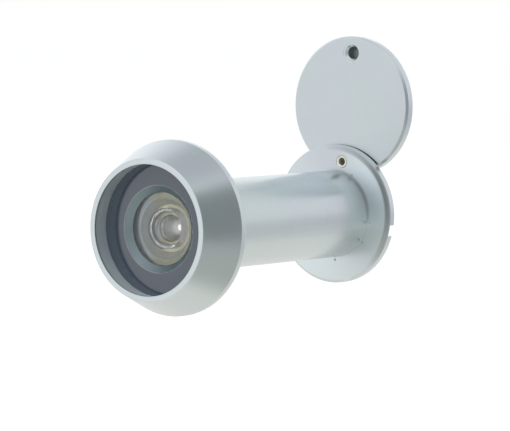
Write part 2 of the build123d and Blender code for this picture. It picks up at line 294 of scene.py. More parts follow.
def arc(start, end, bulge, steps=14):
    """Points from one place on a profile to another along a circle that swells on the axis side.

    start is on the axis at the vertex, and end is on the lens's edge; bulge is not used.
    """
    r, sag = end[0], end[1] - start[1]
    radius = (r * r + sag * sag) / (2 * abs(sag))
    side = 1 if sag > 0 else -1
    full = math.asin(min(1.0, r / radius))
    points = []
    for step in range(steps + 1):
        angle = full * step / steps
        points.append((radius * math.sin(angle), start[1] + side * radius * (1 - math.cos(angle))))
    return points


def lens(name, radius, front, rear, front_radius, crown, rear_radius, bulge, turns=TURNS):
    """A glass with a flat ground edge; crown swells its outdoor face, and bulge its room face."""
    radius -= GLASS_PLAY
    front += GLASS_PLAY
    rear -= GLASS_PLAY
    outdoor = arc((0, front - crown), (front_radius, front), crown)
    room = arc((0, rear + bulge), (rear_radius, rear), bulge)
    line = outdoor + [(radius, front), (radius, rear)] + room[::-1]
    bm = bmesh.new()
    spin(bm, line, closed=False, turns=turns)
    return mesh_object(name, bm, sharp=25)


def box_cutter(width, length, height, place, tilt):
    """A box to cut with, turned about the barrel's axis."""
    bm = bmesh.new()
    bmesh.ops.create_cube(bm, size=1)
    bmesh.ops.scale(bm, vec=(width, length, height), verts=bm.verts)
    cutter = mesh_object("cutter", bm)
    cutter.matrix_world = Matrix.Rotation(tilt, 4, "Y") @ Matrix.Translation(place)
    return cutter


def cut(piece, cutters, sharp=32):
    """Takes the cutters out of a piece and deletes them."""
    for cutter in cutters:
        knife = piece.modifiers.new("cut", "BOOLEAN")
        knife.operation = "DIFFERENCE"
        knife.solver = "EXACT"
        knife.object = cutter
    bpy.context.view_layer.update()
    seen = piece.evaluated_get(bpy.context.evaluated_depsgraph_get())
    whole = bpy.data.meshes.new_from_object(seen)
    piece.modifiers.clear()
    piece.data = whole
    smooth(whole, sharp)
    for cutter in cutters:
        bpy.data.objects.remove(cutter)


# ---- material helpers ----

CORNER_NARROWNESS = 10.0    # the painted shade in a corner reaches this many times less far on the face than on the barrel


class Nodes:
    """A short way to write a material's nodes."""

    def __init__(self, owner):
        """owner is the new material or world."""
        owner.use_nodes = True
        self.owner = owner
        self.tree = owner.node_tree

    def add(self, kind, settings=None, **inputs):
        """A new node with its settings and inputs."""
        made = self.tree.nodes.new("ShaderNode" + kind)
        for key, value in (settings or {}).items():
            setattr(made, key, value)
        for key, value in inputs.items():
            self.put(made.inputs[key.replace("_", " ")], value)
        return made

    def put(self, socket, value):
        """Links a socket to another, or sets its constant value."""
        if isinstance(value, bpy.types.NodeSocket):
            self.tree.links.new(value, socket)
        else:
            socket.default_value = value

    def math(self, operation, a, b=0.0):
        made = self.tree.nodes.new("ShaderNodeMath")
        made.operation = operation
        self.put(made.inputs[0], a)
        self.put(made.inputs[1], b)
        return made.outputs[0]

    def ramp(self, factor, *stops):
        """A colour ramp from (place, colour) stops."""
        made = self.tree.nodes.new("ShaderNodeValToRGB")
        self.put(made.inputs["Fac"], factor)
        for i, (place, colour) in enumerate(stops):
            stop = made.color_ramp.elements[i] if i < 2 else made.color_ramp.elements.new(place)
            stop.position = place
            stop.color = (*colour, 1) if len(colour) == 3 else colour
        return made.outputs["Color"]

    def spread(self, factor, low, high):
        """Maps 0..1 to low..high."""
        made = self.add("MapRange")
        self.put(made.inputs["Value"], factor)
        made.inputs["To Min"].default_value = low
        made.inputs["To Max"].default_value = high
        return made.outputs["Result"]

    def own_place(self):
        """The place in the object's own coordinates."""
        return self.add("TexCoord").outputs["Object"]

    def noise(self, vector, size, detail=3.0, roughness=0.55):
        """Noise whose features are about size metres across."""
        made = self.add("TexNoise", Scale=1 / size, Detail=detail, Roughness=roughness)
        self.put(made.inputs["Vector"], vector)
        return made.outputs["Fac"]

    def round_parts(self):
        """The radius from the object's own axis, the place along it, and the angle round it."""
        split = self.add("SeparateXYZ")
        self.put(split.inputs[0], self.own_place())
        x, y, z = split.outputs
        across = self.math("ADD", self.math("MULTIPLY", x, x), self.math("MULTIPLY", z, z))
        return self.math("POWER", across, 0.5), y, self.math("ARCTAN2", x, z)

    def round_place(self, squeeze):
        """Coordinates for turning marks: radius and place along the axis, with the angle squeezed."""
        radius, along, angle = self.round_parts()
        join = self.add("CombineXYZ")
        self.put(join.inputs[0], radius)
        self.put(join.inputs[1], along)
        self.put(join.inputs[2], self.math("MULTIPLY", self.math("ABSOLUTE", angle), squeeze))
        return join.outputs[0]

    def between(self, value, low, high):
        """0 below low, 1 above high, even in between."""
        made = self.add("MapRange")
        self.put(made.inputs["Value"], value)
        made.inputs["From Min"].default_value = low
        made.inputs["From Max"].default_value = high
        return made.outputs["Result"]

    def apart(self, value, place):
        """How far a value is from a place, to either side."""
        return self.math("ABSOLUTE", self.math("SUBTRACT", value, place))

    def bore_mask(self, radius, start, depth, end):
        """0 outside a hole about the object's own axis, and in it from 0 at its start to 1 over a depth."""
        from_axis, along, angle = self.round_parts()
        narrow = self.math("LESS_THAN", from_axis, radius)
        within = self.math("MULTIPLY", narrow, self.math("LESS_THAN", along, end))
        return self.math("MULTIPLY", within, self.between(along, start, start + depth))

    def side_mask(self, middle, low):
        """1 at an angle from straight up towards +X, 0 where the cosine of the angle off it is low."""
        angle = self.round_parts()[2]
        return self.between(self.math("COSINE", self.math("SUBTRACT", angle, middle)), low, 1.0)

    def face_mask(self, radius, end, side):
        """1 on one side of the face outside a radius from the object's own axis, up to an end."""
        from_axis, along, angle = self.round_parts()
        wide = self.math("GREATER_THAN", from_axis, radius)
        beyond = self.math("MULTIPLY", wide, self.math("LESS_THAN", along, end))
        return self.math("MULTIPLY", beyond, self.side_mask(*side))

    def rim_mask(self, radius, width, end, side=None):
        """1 at a radius from the object's own axis, 0 a width off it to either side, up to an end."""
        from_axis, along, angle = self.round_parts()
        near = self.between(self.apart(from_axis, radius), width, width / 4)
        rim = self.math("MULTIPLY", near, self.math("LESS_THAN", along, end))
        return self.math("MULTIPLY", rim, self.side_mask(*side)) if side else rim

    def corner_mask(self, radius, place, reach, side):
        """1 in the corner between a barrel and the face at its end, 0 from a reach along the barrel."""
        from_axis, along, angle = self.round_parts()
        across = self.math("MULTIPLY", self.apart(from_axis, radius), CORNER_NARROWNESS)
        near = self.between(self.math("ADD", across, self.apart(along, place)), reach, reach / 5)
        return self.math("MULTIPLY", near, self.side_mask(*side))

    def bump(self, height, depth, under=None):
        """A normal roughened by a height, over another normal if one is given."""
        made = self.add("Bump", Strength=1.0, Distance=depth)
        self.put(made.inputs["Height"], height)
        if under is not None:
            self.put(made.inputs["Normal"], under)
        return made.outputs["Normal"]

    def edges(self, low=0.52, high=0.6):
        """1 on convex edges, 0 on flats; the flats across the barrel are left out."""
        shape = self.add("NewGeometry")
        split = self.add("SeparateXYZ")
        self.put(split.inputs[0], shape.outputs["True Normal"])
        off_flat = self.math("LESS_THAN", self.math("ABSOLUTE", split.outputs[1]), 0.99)
        return self.math("MULTIPLY", off_flat, self.between(shape.outputs["Pointiness"], low, high))

    def blend(self, factor, low, high):
        """From the low colour at 0 to the high colour at 1."""
        made = self.add("Mix", {"data_type": "RGBA"})
        self.put(made.inputs["Factor"], factor)
        self.put(made.inputs[6], low if isinstance(low, bpy.types.NodeSocket) else (*low, 1))
        self.put(made.inputs[7], high if isinstance(high, bpy.types.NodeSocket) else (*high, 1))
        return made.outputs[2]

    def shade(self, **inputs):
        """Sets the material's own shader and gives the material."""
        shader = self.tree.nodes["Principled BSDF"]
        for key, value in inputs.items():
            self.put(shader.inputs[key.replace("_", " ")], value)
        return self.owner


def satin_chrome(name, *tones_and_painted_light):
    """Pearl satin plating over turned brass: faint turning marks, cloudy tone, edges brighter from wear.

    Each mark is a mask, where it lies, how bright it is as a share of the plating's own colour, and
    how much duller; the marks paint light and shade on the piece.
    """
    colour = (0.585, 0.635, 0.65)
    roughness = 0.29
    n = Nodes(bpy.data.materials.new(name))
    place = n.own_place()
    cloud = n.noise(place, 4 * MM, detail=4)
    grain = n.noise(place, 0.12 * MM, detail=2)
    lines = n.noise(n.round_place(2 * MM), 0.06 * MM, detail=2)
    red, green, blue = colour
    pearl = n.noise(place, 14 * MM, detail=1)
    violet = n.ramp(
        cloud, (0.3, (red * 0.99, green * 0.97, blue * 1.01)), (0.7, (red, green, blue * 1.02)),
    )
    teal = n.ramp(
        cloud, (0.3, (red * 0.96, green * 0.98, blue * 0.96)), (0.7, (red * 0.99, green * 1.01, blue * 0.99)),
    )
    tone = n.blend(n.between(pearl, 0.35, 0.65), violet, teal)
    wear_and_painted_light = n.blend(n.edges(), tone, [min(1, c * 1.1) for c in colour])
    rough = n.math(
        "ADD", n.spread(cloud, roughness - 0.03, roughness + 0.03), n.spread(grain, -0.03, 0.03),
    )
    # painted light and shade: each mark lightens or darkens the plating where it lies
    for mask, where, bright, dull in tones_and_painted_light:
        here = mask(n, *where)
        wear_and_painted_light = n.blend(here, wear_and_painted_light, [c * bright for c in colour])
        if dull:
            rough = n.math("ADD", rough, n.math("MULTIPLY", here, dull))
    normal = n.bump(grain, 0.0012 * MM)
    normal = n.bump(lines, 0.001 * MM, normal)
    return n.shade(
        Base_Color=wear_and_painted_light, Metallic=1.0, Roughness=rough, Normal=normal,
        Coat_Weight=0.1, Coat_Roughness=0.12,
    )


def gloss_black(name, dish_radius):
    """Moulded black plastic, glossy on its face and finer-grained in the dish, with faint dust and ripple; a
    painted sheen lightens the dish and a painted highlight runs round its edge.
    """
    n = Nodes(bpy.data.materials.new(name))
    place = n.own_place()
    ripple = n.noise(place, 3 * MM, detail=2)
    dust = n.noise(place, 0.15 * MM, detail=3)
    dish = n.bore_mask(dish_radius, DISH_FACE, 0.05 * MM, THROAT + MM)
    face_tone = n.ramp(dust, (0.45, (0.058, 0.076, 0.105)), (0.8, (0.07, 0.09, 0.122)))
    # painted sheen: the dish is coloured a lighter teal than the face
    dish_sheen_tone = n.ramp(dust, (0.45, (0.2, 0.255, 0.275)), (0.8, (0.215, 0.27, 0.29)))
    # painted highlight: a lighter line round the dish's edge, broken up by the ripple
    edge = n.rim_mask(dish_radius + 0.1 * MM, 0.1 * MM, THROAT)
    edge_wear_and_highlight = n.math("MULTIPLY", edge, n.spread(ripple, 0.3, 1.0))
    tone = n.blend(edge_wear_and_highlight, n.blend(dish, face_tone, dish_sheen_tone), (0.36, 0.43, 0.46))
    uneven = n.math("ADD", n.math("MULTIPLY", ripple, 0.6), n.math("MULTIPLY", dust, 0.4))
    rough = n.math("ADD", n.spread(uneven, 0.05, 0.16), n.math("MULTIPLY", dish, 0.3))
    coat = n.math("SUBTRACT", 0.6, n.math("MULTIPLY", dish, 0.6))
    return n.shade(
        Base_Color=tone, Metallic=n.math("MULTIPLY", dish, 0.85), Roughness=rough,
        Normal=n.bump(ripple, 0.004 * MM), Specular_IOR_Level=0.8, Coat_Weight=coat, Coat_Roughness=0.04,
    )


def lens_glass(name, film=0.0):
    """Clear optical glass with faint dust; film is how much of the light its surface scatters."""
    n = Nodes(bpy.data.materials.new(name))
    dust = n.noise(n.own_place(), 0.3 * MM, detail=4)
    rough = n.spread(n.math("POWER", dust, 3.0), 0.0, 0.04)
    tone = n.ramp(dust, (0.35, (1.0, 1.0, 0.995)), (0.75, (0.98, 0.985, 0.98)))
    clear = n.spread(dust, 1 - film * 0.8, 1 - film * 1.2)
    return n.shade(Base_Color=tone, Roughness=rough, IOR=1.52, Transmission_Weight=clear)


def turned_brass(name, colour, roughness, metallic=1.0, bore_highlight=None, side_shade=None):
    """Bare turned brass with fine lathe lines and a little tarnish; oxide makes it less metallic.

    fresh is a bore's radius, and a lighter colour painted inside it as a highlight. stain is the colour of
    painted shade on one side, and the places across the barrel where it starts and where it is full.
    """
    n = Nodes(bpy.data.materials.new(name))
    place = n.own_place()
    tarnish = n.noise(place, 1.2 * MM, detail=4)
    lines = n.noise(n.round_place(1.5 * MM), 0.04 * MM, detail=2)
    tone = n.ramp(tarnish, (0.3, [c * 0.8 for c in colour]), (0.65, colour))
    # painted highlight: the brass inside the bore is coloured lighter
    if bore_highlight:
        radius, bright = bore_highlight
        tone = n.blend(n.bore_mask(radius, FRONT_LENS_REAR, EDGE_ROUND, STEM_END), tone, bright)
    # painted shade, tinted teal, on the piece's -X side
    if side_shade:
        side_shade_colour, start, full = side_shade
        split = n.add("SeparateXYZ")
        n.put(split.inputs[0], place)
        ragged = n.math("ADD", split.outputs[0], n.spread(tarnish, -0.5 * MM, 0.5 * MM))
        tone = n.blend(n.between(ragged, start, full), tone, side_shade_colour)
    shine = n.blend(n.edges(), tone, [min(1, c * 1.15) for c in colour])
    rough = n.math(
        "ADD", n.spread(tarnish, roughness + 0.08, roughness - 0.06), n.spread(lines, -0.05, 0.05),
    )
    return n.shade(
        Base_Color=shine, Metallic=metallic, Roughness=rough, Normal=n.bump(lines, 0.002 * MM),
    )


def black_anodised(name):
    """Matt black anodised ring or tube, with lathe lines and edges worn lighter."""
    n = Nodes(bpy.data.materials.new(name))
    place = n.own_place()
    lines = n.noise(n.round_place(1.5 * MM), 0.05 * MM, detail=2)
    cloud = n.noise(place, 1.5 * MM)
    tone = n.ramp(cloud, (0.3, (0.02, 0.02, 0.023)), (0.7, (0.045, 0.045, 0.05)))
    edge_wear_and_highlight = n.blend(n.edges(0.54, 0.64), tone, (0.3, 0.3, 0.31))
    return n.shade(
        Base_Color=edge_wear_and_highlight, Metallic=0.6, Roughness=n.spread(cloud, 0.42, 0.58),
        Normal=n.bump(lines, 0.002 * MM),
    )


def spring_steel(name):
    """Bright spring steel strip with a fine grain."""
    n = Nodes(bpy.data.materials.new(name))
    grain = n.noise(n.own_place(), 0.2 * MM, detail=3)
    tone = n.ramp(grain, (0.3, (0.5, 0.51, 0.52)), (0.7, (0.66, 0.67, 0.68)))
    return n.shade(
        Base_Color=tone, Metallic=1.0, Roughness=n.spread(grain, 0.24, 0.38),
        Normal=n.bump(grain, 0.001 * MM),
    )


RIM_MIDDLE = (OPENING_RADIUS + RIM_RADIUS) / 2
FLANGE_EDGE_RADIUS = FLANGE_RADIUS - 0.7 * FLANGE_BEVEL_WIDTH
FLANGE_FACE_RADIUS = SLEEVE_RADIUS + RUNNING_GAP
FLANGE_FACE_END = FLANGE_FRONT + 0.1 * MM
# sides of the flange where light and shade are painted: the angle from straight up towards +X, and the cosine
# of how far it reaches
LIT_LOWER_LEFT = (math.radians(-120), -0.3)
LIT_RIGHT = (math.radians(68), 0.5)
SHADED_EDGE_RIGHT = (math.radians(66), 0.25)
SHADED_UPPER_RIGHT = (math.radians(46), 0.55)

CHROME = satin_chrome(
    "satin_chrome_bezel",
    # painted highlight: the rim's front face is lightened
    (Nodes.rim_mask, (RIM_MIDDLE, 0.6 * MM, LIP_REAR_FACE), 1.1, 0),
    # painted light: the cavity's wall is lightened behind the lip, and also made duller
    (Nodes.bore_mask, (CAVITY_RADIUS + RUNNING_GAP, LIP_REAR_FACE, 0.1 * MM, THROAT), 1.3, 0.5),
)
CHROME_SLEEVE = satin_chrome(
    "satin_chrome_sleeve",
    # painted light: the flange's face is lightened on its lower left
    (Nodes.face_mask, (FLANGE_FACE_RADIUS, FLANGE_FACE_END, LIT_LOWER_LEFT), 1.22, 0),
    # painted light: the flange's face is lightened on its right
    (Nodes.face_mask, (FLANGE_FACE_RADIUS, FLANGE_FACE_END, LIT_RIGHT), 1.3, 0),
    # painted shade: the flange's bevel is darkened on its right
    (Nodes.rim_mask, (FLANGE_EDGE_RADIUS, 0.6 * MM, FLANGE_FRONT + FLANGE_BEVEL, SHADED_EDGE_RIGHT), 0.32, 0),
    # painted shade in the corner between barrel and flange on the upper right, which is also made duller
    (Nodes.corner_mask, (SLEEVE_RADIUS, FLANGE_FRONT, 5.5 * MM, SHADED_UPPER_RIGHT), 0.7, 0.15),
)
CHROME_COVER = satin_chrome("satin_chrome_cover")
CHROME_KNOB = satin_chrome(
    "satin_chrome_knob",
    # painted shade: the knob's bore darkens deeper in, and is made duller
    (Nodes.bore_mask,
     (KNOB_BORE_RADIUS + RUNNING_GAP, COVER_FRONT, 0.9 * MM, COVER_REAR + RUNNING_GAP), 0.6, 0.25),
)
BLACK = gloss_black("gloss_black_ring", DISH_MOUTH_RADIUS - DISH_ROUND)
GLASS = lens_glass("lens_glass_inner")
FRONT_GLASS = lens_glass("lens_glass_front", 0.08)
BRASS = turned_brass(
    "brass_seat", (0.125, 0.135, 0.045), 0.32, 0.75,
    # painted highlight in the seat's bore
    bore_highlight=(SEAT_MOUTH_RADIUS, (0.36, 0.35, 0.19)),
    # painted shade on the seat's -X side
    side_shade=((0.125, 0.175, 0.195), -1.2 * MM, -3.6 * MM),
)
PALE_BRASS = turned_brass("brass_tube", (0.99, 0.96, 0.91), 0.3, 0.2)
RIVET_BRASS = turned_brass("brass_rivet", (0.9, 0.87, 0.76), 0.34, 0.7)
ANODISED = black_anodised("black_anodised")
STEEL = spring_steel("spring_steel_washer")


def dress(piece, material, slot, body, *nodes):
    """Gives a piece its material and body, and lets it stand for its CAD nodes; slot is not used."""
    piece.data.materials.clear()
    piece.data.materials.append(material)
    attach(piece, body)
    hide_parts(*nodes)
    return piece


# ---- held in the door ----

def thread(bm, start, end):
    """Adds the right-hand male thread between two places on the stem."""
    steps = 96
    flank = 5 / 16 * THREAD_PITCH
    crest = THREAD_PITCH / 8
    blunt = 0.05 * MM
    shoulder = 0.93         # where the flank starts to round off, as a share of the depth
    run_out = 0.8 * THREAD_PITCH
    form = [
        (0.0, 0.0), (flank - blunt, shoulder), (flank + blunt / 2, 1.0),
        (flank + crest - blunt / 2, 1.0), (flank + crest + blunt, shoulder), (2 * flank + crest, 0.0),
    ]
    depth = THREAD_RADIUS - THREAD_ROOT_RADIUS
    turns = int((end - start) / THREAD_PITCH) + 2
    columns = []
    for k in range(steps + 1):
        lift = THREAD_PITCH * k / steps
        column = []
        for turn in range(-1, turns):
            for place, height in form:
                y = start + turn * THREAD_PITCH + lift + place
                fade = max(0.0, min(1.0, min(y - start, end - y) / run_out))
                column.append((THREAD_ROOT_RADIUS + depth * height * fade, min(max(y, start), end)))
        columns.append(column)
    verts = []
    for k, column in enumerate(columns[:-1]):
        a = 2 * math.pi * k / steps
        verts.append([bm.verts.new((r * math.sin(a), y, r * math.cos(a))) for r, y in column])
    period = len(form)
    for k in range(steps):
        low = verts[k]
        high = verts[(k + 1) % steps]
        shift = period if k == steps - 1 else 0
        for j in range(len(low) - 1 - shift):
            bm.faces.new([low[j + shift], low[j + shift + 1], high[j + 1], high[j]])


def make_housing():
    """The bezel with its open recess, and the stem behind it with its thread."""
    start = THREAD_START
    end = STEM_END - STEM_BEVEL
    corners = [
        (THREAD_ROOT_RADIUS, end, 0),
        (THREAD_ROOT_RADIUS - STEM_BEVEL_WIDTH, STEM_END, EDGE_ROUND),
        (STEM_BORE_RADIUS, STEM_END, EDGE_ROUND),
        (STEM_BORE_RADIUS, SEAT_REAR, 0),
        (FRONT_LENS_RADIUS + RUNNING_GAP, SEAT_REAR, 0),
        (FRONT_LENS_RADIUS + RUNNING_GAP, THROAT, 0),
        (HUB_RADIUS + FIT_GAP, THROAT, 0),
        (HUB_RADIUS + FIT_GAP, CAVITY_FLOOR, 0),
        (CAVITY_RADIUS + FIT_GAP, CAVITY_FLOOR, 0),
        (CAVITY_RADIUS + FIT_GAP, LIP_REAR_FACE, 0),
        (OPENING_RADIUS, LIP_REAR_FACE, EDGE_ROUND),
        (OPENING_RADIUS, RIM_FACE, EDGE_ROUND),
        (RIM_RADIUS, RIM_FACE, RIM_ROUND),
        (BEZEL_RADIUS, -LAND_LENGTH, LAND_ROUND),
        (BEZEL_RADIUS, 0, LAND_ROUND),
        (RECESS_RADIUS, 0, EDGE_ROUND),
        (RECESS_RADIUS, -RECESS_DEPTH, 0),
        (THREAD_ROOT_RADIUS, -RECESS_DEPTH, 0),
        (THREAD_ROOT_RADIUS, start, 0),
    ]
    bm = bmesh.new()
    spin(bm, divided(rounded(corners, closed=False), closed=False), closed=False)
    body = mesh_object("housing_shell", bm)
    dress(body, CHROME, "satin_chrome", "housing", "outer_housing")
    bm = bmesh.new()
    thread(bm, start, end)
    screw = mesh_object("stem_thread", bm, sharp=25)
    dress(screw, CHROME, "satin_chrome", "housing", "outer_housing")


def make_retainer():
    """The glossy black ring that dishes down to the front lens."""
    corners = [
        (DISH_MOUTH_RADIUS, DISH_FACE, DISH_ROUND),
        (CAVITY_RADIUS, DISH_FACE, EDGE_ROUND),
        (CAVITY_RADIUS, CAVITY_FLOOR, 0),
        (HUB_RADIUS, CAVITY_FLOOR, 0),
        (HUB_RADIUS, THROAT, 0),
        (DISH_THROAT_RADIUS, THROAT, EDGE_ROUND),
    ]
    dress(turned("retainer_dish", corners), BLACK, "gloss_black", "housing", "lens_retainer")


def make_seat():
    """The brass funnel under the front lens."""
    corners = [
        (SEAT_MOUTH_RADIUS, FRONT_LENS_REAR, EDGE_ROUND),
        (FRONT_LENS_RADIUS, FRONT_LENS_REAR, EDGE_ROUND),
        (FRONT_LENS_RADIUS, SEAT_REAR, 0),
        (STACK_RADIUS, SEAT_REAR, 0),
        (STACK_RADIUS, SECOND_LENS_FRONT, 0),
        (SEAT_APERTURE_RADIUS, SECOND_LENS_FRONT, 0),
        (SEAT_APERTURE_RADIUS, SECOND_LENS_FRONT - SEAT_STEP, EDGE_ROUND),
        (SEAT_STEP_RADIUS, SECOND_LENS_FRONT - SEAT_STEP, EDGE_ROUND),
    ]
    dress(turned("glass_seat", corners), BRASS, "bare_brass", "housing", "front_lens_seat")


def make_glasses():
    """All six lenses; a lens's edge lies between its crowned faces."""

    def add(name, node, body, front_radius, crown, rear_radius, bulge):
        low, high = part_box(node)
        front = low.y + max(0.0, crown)
        rear = high.y - max(0.0, bulge)
        piece = lens(name, high.x, front, rear, front_radius, crown, rear_radius, bulge)
        dress(piece, FRONT_GLASS if node == "front_lens" else GLASS, "lens_glass", body, node)

    lock_ring_bore = STACK_RADIUS - LOCK_RING_WALL
    spacer_bore = EYEPIECE_BORE_RADIUS - RUNNING_GAP - RING_WALL
    eyepiece_ring_bore = EYEPIECE_BORE_RADIUS - FIT_GAP - LOCK_RING_WALL
    add("front_glass", "front_lens", "housing",
        DISH_THROAT_RADIUS, FRONT_LENS_CROWN, FRONT_HOLLOW_RADIUS, -FRONT_LENS_HOLLOW)
    add("second_glass", "second_lens", "housing",
        SEAT_APERTURE_RADIUS, SECOND_LENS_CROWN, RING_BORE_RADIUS, -SECOND_LENS_HOLLOW)
    add("third_glass", "third_lens", "housing",
        RING_BORE_RADIUS, THIRD_LENS_CROWN, RING_BORE_RADIUS, -THIRD_LENS_HOLLOW)
    add("rear_glass", "rear_lens", "housing",
        RING_BORE_RADIUS, REAR_LENS_CROWN, lock_ring_bore, REAR_LENS_CROWN)
    add("field_glass", "field_lens", "eyepiece",
        EYEPIECE_LIP_RADIUS, FIELD_LENS_CROWN, spacer_bore, FIELD_LENS_CROWN)
    add("eye_glass", "eyepiece_lens", "eyepiece",
        spacer_bore, EYEPIECE_LENS_CROWN, eyepiece_ring_bore, EYEPIECE_LENS_CROWN)


# ---- screwed on from the room ----

def slot_cutter():
    """The coin slot across the flange's rear, square to the pivot's radius."""
    return box_cutter(
        3 * FLANGE_RADIUS, 2 * SLOT_DEPTH, SLOT_WIDTH, (0, FLANGE_REAR, 0), SLOT_TILT
    )


def make_sleeve():
    """The smooth barrel, with a lip inside that carries the eyepiece's glass."""
    corners = [
        (SLEEVE_BORE_RADIUS, SLEEVE_END, 2 * EDGE_ROUND),
        (SLEEVE_RADIUS, SLEEVE_END, 2 * EDGE_ROUND),
        (SLEEVE_RADIUS, FLANGE_REAR, EDGE_ROUND),
        (EYEPIECE_BORE_RADIUS, FLANGE_REAR, EDGE_ROUND),
        (EYEPIECE_BORE_RADIUS, LIP_REAR, 0),
        (EYEPIECE_LIP_RADIUS, LIP_REAR, 0),
        (EYEPIECE_LIP_RADIUS, LIP_FRONT, 0),
        (SLEEVE_BORE_RADIUS, LIP_FRONT, 0),
    ]
    piece = turned("barrel", corners)
    cut(piece, [slot_cutter()])
    dress(piece, CHROME_SLEEVE, "satin_chrome", "sleeve", "sleeve_tube")


def make_flange():
    """The flange, with its coin slot, the rivet's hole and the staking marks."""
    corners = [
        (SLEEVE_RADIUS, FLANGE_FRONT, 0),
        (FLANGE_RADIUS - FLANGE_BEVEL_WIDTH, FLANGE_FRONT, EDGE_ROUND),
        (FLANGE_RADIUS, FLANGE_FRONT + FLANGE_BEVEL, EDGE_ROUND),
        (FLANGE_RADIUS, FLANGE_REAR, EDGE_ROUND),
        (SLEEVE_RADIUS, FLANGE_REAR, 0),
    ]
    piece = turned("flange_plate", corners)
    hole = turned("cutter", [
        (0, FLANGE_FRONT - MM, 0),
        (RIVET_RADIUS + RIVET_FLARE + FIT_GAP, FLANGE_FRONT - MM, 0),
        (RIVET_RADIUS + RIVET_FLARE + FIT_GAP, FLANGE_FRONT, 0),
        (RIVET_RADIUS + FIT_GAP, FLANGE_FRONT + RIVET_FLARE, 0),
        (RIVET_RADIUS + FIT_GAP, FLANGE_REAR + MM, 0),
        (0, FLANGE_REAR + MM, 0),
    ], (PIVOT.x, PIVOT.z), closed=False, turns=SMALL_TURNS)
    cutters = [slot_cutter(), hole]
    for angle in STAKE_ANGLES:
        x = STAKE_RING_RADIUS * math.cos(math.radians(angle))
        z = STAKE_RING_RADIUS * math.sin(math.radians(angle))
        cutters.append(turned("cutter", [
            (0, FLANGE_FRONT + STAKE_SIZE, 0),
            (STAKE_SIZE / 3, FLANGE_FRONT + STAKE_SIZE, 0),
            (STAKE_SIZE, FLANGE_FRONT, 0),
            (STAKE_SIZE, FLANGE_FRONT - MM, 0),
            (0, FLANGE_FRONT - MM, 0),
        ], (x, z), closed=False, turns=16))
    cut(piece, cutters)
    dress(piece, CHROME_SLEEVE, "satin_chrome", "sleeve", "inner_flange")


def make_rivet():
    """The hollow rivet: rolled edge flush in the flange, round head behind the cover."""
    head = COVER_REAR + RUNNING_GAP
    corners = [
        (0, COVER_REAR, 0),
        (RIVET_BORE_RADIUS, COVER_REAR, 0),
        (RIVET_BORE_RADIUS, FLANGE_FRONT, RIVET_MOUTH_ROUND),
        (RIVET_RADIUS + RIVET_FLARE, FLANGE_FRONT, EDGE_ROUND),
        (RIVET_RADIUS, FLANGE_FRONT + RIVET_FLARE, 0),
        (RIVET_RADIUS, head, 0),
        (RIVET_HEAD_RADIUS, head, EDGE_ROUND),
        (RIVET_HEAD_RADIUS, head + RIVET_HEAD_SIDE, RIVET_HEAD_SIDE_ROUND),
        (RIVET_CROWN_RADIUS, head + RIVET_CROWN, RIVET_CROWN_ROUND),
        (0, head + RIVET_HEAD_THICKNESS, 0),
    ]
    piece = turned("pivot_rivet", corners, (PIVOT.x, PIVOT.z), closed=False, turns=SMALL_TURNS)
    dress(piece, RIVET_BRASS, "bare_brass", "sleeve", "cover_pivot_rivet")


def make_lock_ring(name, node, body):
    """A ring with two spanner slots in its room face, in line with the coin slot."""
    low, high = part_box(node)
    bore = high.x - LOCK_RING_WALL
    corners = [
        (bore, low.y, 0),
        (high.x, low.y, 0),
        (high.x, high.y, EDGE_ROUND),
        (bore + LOCK_RING_MOUTH_WIDTH, high.y, EDGE_ROUND),
        (bore, high.y - LOCK_RING_MOUTH_DEPTH, EDGE_ROUND),
    ]
    piece = turned(name, corners)
    slots = box_cutter(
        3 * high.x, 2 * SPANNER_SLOT_DEPTH, SPANNER_SLOT_WIDTH, (0, high.y, 0), SLOT_TILT
    )
    cut(piece, [slots])
    dress(piece, ANODISED, "black_metal", body, node)


def make_spacer(name, node, body, material, slot):
    """A plain ring or tube that keeps two lenses apart."""
    low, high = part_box(node)
    corners = [
        (high.x - RING_WALL, low.y, EDGE_ROUND),
        (high.x, low.y, EDGE_ROUND),
        (high.x, high.y, EDGE_ROUND),
        (high.x - RING_WALL, high.y, EDGE_ROUND),
    ]
    dress(turned(name, corners), material, slot, body, node)


def make_washer():
    """The friction washer between the flange and the cover."""
    low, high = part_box("friction_washer")
    radius = (high.x - low.x) / 2
    corners = [
        (RIVET_RADIUS + FIT_GAP, low.y, EDGE_ROUND),
        (radius, low.y, EDGE_ROUND),
        (radius, high.y, EDGE_ROUND),
        (RIVET_RADIUS + FIT_GAP, high.y, EDGE_ROUND),
    ]
    piece = turned("cover_washer", corners, (PIVOT.x, PIVOT.z), turns=SMALL_TURNS)
    dress(piece, STEEL, "spring_steel", "sleeve", "friction_washer")


# ---- swing cover ----

